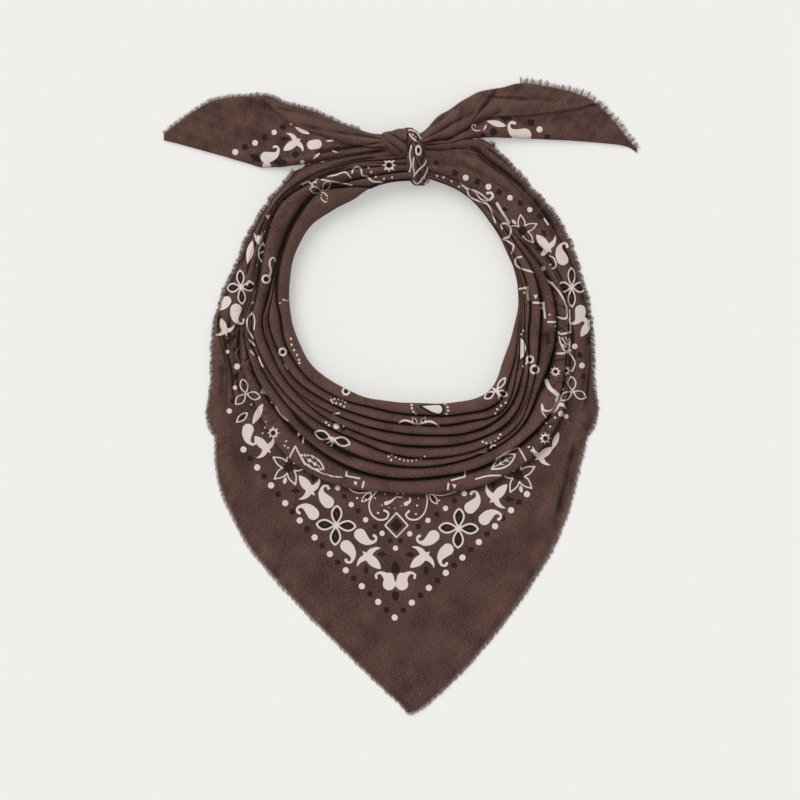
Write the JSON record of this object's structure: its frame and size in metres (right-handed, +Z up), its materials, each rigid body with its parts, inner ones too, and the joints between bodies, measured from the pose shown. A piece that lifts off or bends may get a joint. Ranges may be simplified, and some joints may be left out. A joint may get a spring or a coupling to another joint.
{
  "type": "knotted square bandana",
  "caption": "Square cotton bandana with frayed edges, folded on the diagonal, pleated round the neck opening, knotted at the top and laid flat",
  "frame": {"origin": "middle of the laid piece in plan, on the surface that it lies on", "axes": "+Z up, away from the surface; +Y from the point of the bib towards the knot; +X to the right as seen from above"},
  "size_m": [0.2927, 0.3971, 0.0232],
  "materials": {
    "printed_cotton": "matt plain-weave cotton in a brown melange, printed in off-white and black",
    "frayed_thread": "loose cotton threads of a frayed edge"
  },
  "bodies": {
    "root": {"bib_back": "printed_cotton", "bib_front": "printed_cotton", "fringe_bib_back": "frayed_thread", "fringe_bib_left": "frayed_thread", "fringe_bib_right": "frayed_thread", "fringe_left_side": "frayed_thread", "fringe_left_tail": "frayed_thread", "fringe_right_side": "frayed_thread", "fringe_right_tail": "frayed_thread", "knot_band": "printed_cotton", "knot_lobe": "printed_cotton", "left_flap": "printed_cotton", "left_gather": "printed_cotton", "left_tail": "printed_cotton", "neck_folds": "printed_cotton", "right_flap": "printed_cotton", "right_gather": "printed_cotton", "right_tail": "printed_cotton"}
  },
  "joints": []
}
